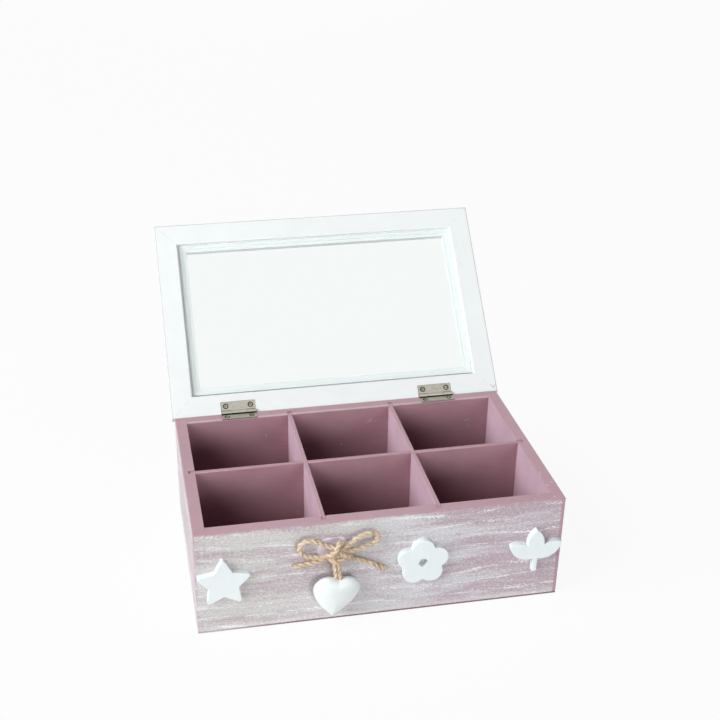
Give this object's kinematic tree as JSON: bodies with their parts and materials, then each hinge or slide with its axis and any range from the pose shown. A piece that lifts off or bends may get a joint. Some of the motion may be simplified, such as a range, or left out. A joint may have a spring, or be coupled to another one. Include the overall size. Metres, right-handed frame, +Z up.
{
  "type": "wooden compartment box",
  "caption": "Painted wooden box with divided compartments, a hinged lid with a glass pane, and a front dressed with white cut-outs and a heart that hangs from a jute bow.",
  "frame": {"origin": "centre of the box's underside, on the surface that it stands on", "axes": "+X to the right seen from the front, +Y to the hinged back, +Z up"},
  "size_m": [0.2432, 0.272, 0.1822],
  "materials": {
    "whitewashed_wood": "mauve paint, dry-brushed with white",
    "mauve_wood": "matte mauve paint",
    "white_wood": "satin white paint",
    "clear_glass": "clear",
    "clear_sealant": "clear silicone",
    "nickelled_steel": "nickel plate",
    "jute_twine": "natural jute",
    "white_resin": "satin white",
    "set_glue": "milky set glue"
  },
  "bodies": {
    "box": {"front_panel": "whitewashed_wood", "back_panel": "whitewashed_wood", "left_panel": "whitewashed_wood", "right_panel": "whitewashed_wood", "base_panel": "mauve_wood", "long_divider": "mauve_wood", "left_cross_divider": "mauve_wood", "right_cross_divider": "mauve_wood", "base_nails": "nickelled_steel", "box_leaf_screws": "nickelled_steel", "left_hinge_box_leaf": "nickelled_steel", "right_hinge_box_leaf": "nickelled_steel", "left_hinge_pin": "nickelled_steel", "right_hinge_pin": "nickelled_steel", "star_ornament": "white_wood", "flower_ornament": "white_wood", "sprig_ornament": "white_wood", "bow_glue_pad": "set_glue", "bow_knot": "jute_twine", "bow_left_loop": "jute_twine", "bow_right_loop": "jute_twine", "bow_tails": "jute_twine"},
    "lid": {"lid_front_rail": "white_wood", "lid_back_rail": "white_wood", "lid_left_rail": "white_wood", "lid_right_rail": "white_wood", "glass_pane": "clear_glass", "glass_sealant": "clear_sealant", "left_hinge_lid_leaf": "nickelled_steel", "right_hinge_lid_leaf": "nickelled_steel", "lid_leaf_screws": "nickelled_steel"},
    "pendant": {"heart_pendant": "white_resin", "heart_hanger": "jute_twine"}
  },
  "joints": [
    {"name": "lid_hinge", "type": "hinge", "parent": "box", "child": "lid", "pos_m": [0, 0.0748, 0.0762], "axis": [1, 0, 0], "range_deg": [0, 135]},
    {"name": "heart_swing", "type": "hinge", "parent": "box", "child": "pendant", "pos_m": [-0.0313, -0.0802, 0.0542], "axis": [0, 1, 0], "range_deg": [-25, 25]}
  ]
}
